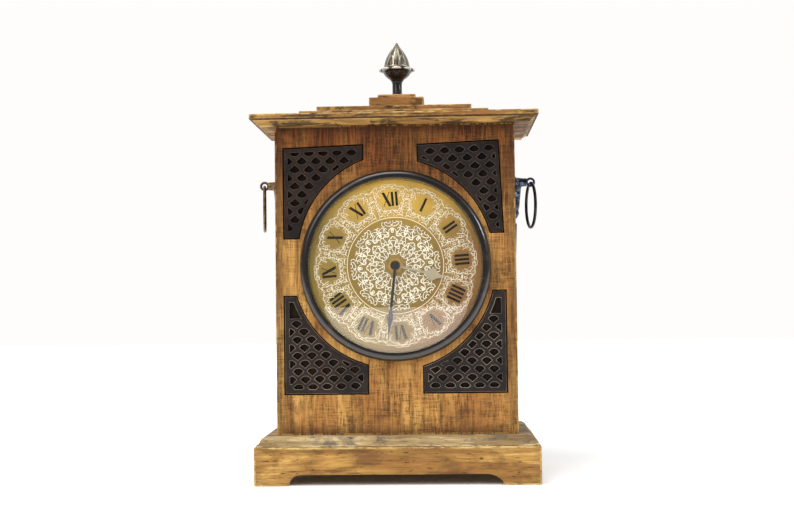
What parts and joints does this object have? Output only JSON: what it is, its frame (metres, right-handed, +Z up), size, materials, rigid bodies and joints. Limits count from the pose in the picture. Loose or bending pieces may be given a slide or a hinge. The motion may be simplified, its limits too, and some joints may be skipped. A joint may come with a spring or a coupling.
{
  "type": "table clock",
  "caption": "Wooden bracket-style table clock with pierced metal frets, drop-ring side handles, turned finial, domed glass dial and a battery movement behind a hinged back door.",
  "frame": {"origin": "on the floor under the middle of the plinth", "axes": "+X to the viewer's right, +Y from the dial to the back, +Z up"},
  "size_m": [0.257, 0.142, 0.4016],
  "materials": {
    "wood_plinth": "distressed hardwood with horizontal grain, satin",
    "wood_case": "stained hardwood with saw marks, satin",
    "wood_top": "distressed hardwood, worn edges, satin",
    "fret_iron": "black, edges rubbed bare",
    "handle_iron": "gunmetal, polished",
    "ring_bronze": "bronzed",
    "steel": "plain",
    "brass_fittings": "aged",
    "magnet": "sintered",
    "finial_dark": "blackened bronze, glossy",
    "finial_silver": "aged silver over bronze",
    "dial": "gilt with cream ornament and black numerals",
    "bezel": "gloss black",
    "seat_brass": "greenish gilt",
    "glass": "clear, domed",
    "hour_hand": "champagne anodised",
    "minute_hand": "black",
    "movement_black": "matt",
    "wheel_brass": "machined",
    "wheel_white": "moulded",
    "copper_coil": "enamelled copper wire",
    "board_green": "printed circuit board",
    "battery": "plain sleeve"
  },
  "bodies": {
    "case": {"plinth_front": "wood_plinth", "plinth_back": "wood_plinth", "plinth_sides": "wood_plinth", "plinth_blocks": "wood_plinth", "base_board": "wood_plinth", "front_panel": "wood_case", "left_side": "wood_case", "right_side": "wood_case", "back_frame": "wood_case", "cornice_board": "wood_top", "top_slab": "wood_top", "roof_lower": "wood_top", "roof_upper": "wood_top", "finial_block_lower": "wood_top", "finial_block_upper": "wood_top", "grille_top_left": "fret_iron", "grille_top_right": "fret_iron", "grille_bottom_left": "fret_iron", "grille_bottom_right": "fret_iron", "side_frets": "fret_iron", "left_handle_plate": "handle_iron", "right_handle_plate": "handle_iron", "handle_nuts": "steel", "finial_nut": "steel", "finial_stud": "steel", "hinge_leaves_case": "brass_fittings", "hinge_pins": "brass_fittings", "catch_magnet": "magnet", "finial_cup": "finial_dark", "finial_bud": "finial_silver", "insert_ring": "steel", "dial_plate": "dial", "bezel": "bezel", "glass_seat": "seat_brass", "glass": "glass", "dial_nut": "brass_fittings", "movement_case": "movement_black", "movement_cover": "movement_black", "stator": "steel", "coil": "copper_coil", "circuit_board": "board_green", "battery": "battery", "battery_contacts": "steel"},
    "door": {"back_door": "wood_case", "hinge_leaves_door": "brass_fittings", "door_knob": "brass_fittings"},
    "left_ring": {"left_ring": "ring_bronze"},
    "right_ring": {"right_ring": "handle_iron"},
    "minute": {"minute_arbor": "wheel_brass", "minute_hand": "minute_hand", "hand_nut": "minute_hand"},
    "hour": {"hour_wheel": "wheel_white", "hour_hand": "hour_hand"},
    "minute_wheel": {"minute_wheel": "wheel_white"},
    "set_knob": {"set_knob": "wheel_white"},
    "centre_wheel": {"centre_wheel": "wheel_brass"},
    "third_wheel": {"third_wheel": "wheel_brass"},
    "seconds_wheel": {"seconds_wheel": "wheel_brass"},
    "intermediate_wheel": {"intermediate_wheel": "wheel_white"},
    "rotor": {"rotor": "magnet"}
  },
  "joints": [
    {"name": "left_ring_swing", "type": "hinge", "parent": "case", "child": "left_ring", "pos_m": [-0.124, 0, 0.2682], "axis": [-0.1392, 0.9903, 0], "range_deg": [-15, 170]},
    {"name": "right_ring_swing", "type": "hinge", "parent": "case", "child": "right_ring", "pos_m": [0.124, 0, 0.2682], "axis": [0.1392, -0.9903, 0], "range_deg": [-15, 170]},
    {"name": "door_swing", "type": "hinge", "parent": "case", "child": "door", "pos_m": [0.0745, 0.0574, 0.18], "axis": [0, 0, -1], "range_deg": [0, 160]},
    {"name": "minute_spin", "type": "hinge", "parent": "case", "child": "minute", "pos_m": [0, -0.05, 0.1914], "axis": [0, 1, 0], "continuous": true},
    {"name": "hour_spin", "type": "hinge", "parent": "case", "child": "hour", "pos_m": [0, -0.05, 0.1914], "axis": [0, 1, 0], "continuous": true},
    {"name": "minute_wheel_spin", "type": "hinge", "parent": "case", "child": "minute_wheel", "pos_m": [-0.00897, -0.05, 0.19069], "axis": [0, 1, 0], "continuous": true},
    {"name": "set_knob_spin", "type": "hinge", "parent": "case", "child": "set_knob", "pos_m": [-0.01794, -0.05, 0.18999], "axis": [0, 1, 0], "continuous": true},
    {"name": "seconds_spin", "type": "hinge", "parent": "case", "child": "seconds_wheel", "pos_m": [0, -0.05, 0.1914], "axis": [0, 1, 0], "continuous": true},
    {"name": "third_spin", "type": "hinge", "parent": "case", "child": "third_wheel", "pos_m": [0.00701, -0.05, 0.19961], "axis": [0, 1, 0], "continuous": true},
    {"name": "centre_spin", "type": "hinge", "parent": "case", "child": "centre_wheel", "pos_m": [0, -0.05, 0.1914], "axis": [0, 1, 0], "continuous": true},
    {"name": "intermediate_spin", "type": "hinge", "parent": "case", "child": "intermediate_wheel", "pos_m": [-0.00496, -0.05, 0.19861], "axis": [0, 1, 0], "continuous": true},
    {"name": "rotor_spin", "type": "hinge", "parent": "case", "child": "rotor", "pos_m": [-0.00646, -0.05, 0.20442], "axis": [0, 1, 0], "continuous": true}
  ],
  "couplings": [
    {"joint": "hour_spin", "follows": "minute_spin", "ratio": 0.083333},
    {"joint": "minute_wheel_spin", "follows": "minute_spin", "ratio": -0.33333},
    {"joint": "set_knob_spin", "follows": "minute_spin", "ratio": 1},
    {"joint": "third_spin", "follows": "seconds_spin", "ratio": -0.13333},
    {"joint": "centre_spin", "follows": "seconds_spin", "ratio": 0.016667},
    {"joint": "intermediate_spin", "follows": "seconds_spin", "ratio": -6},
    {"joint": "rotor_spin", "follows": "seconds_spin", "ratio": 30}
  ]
}
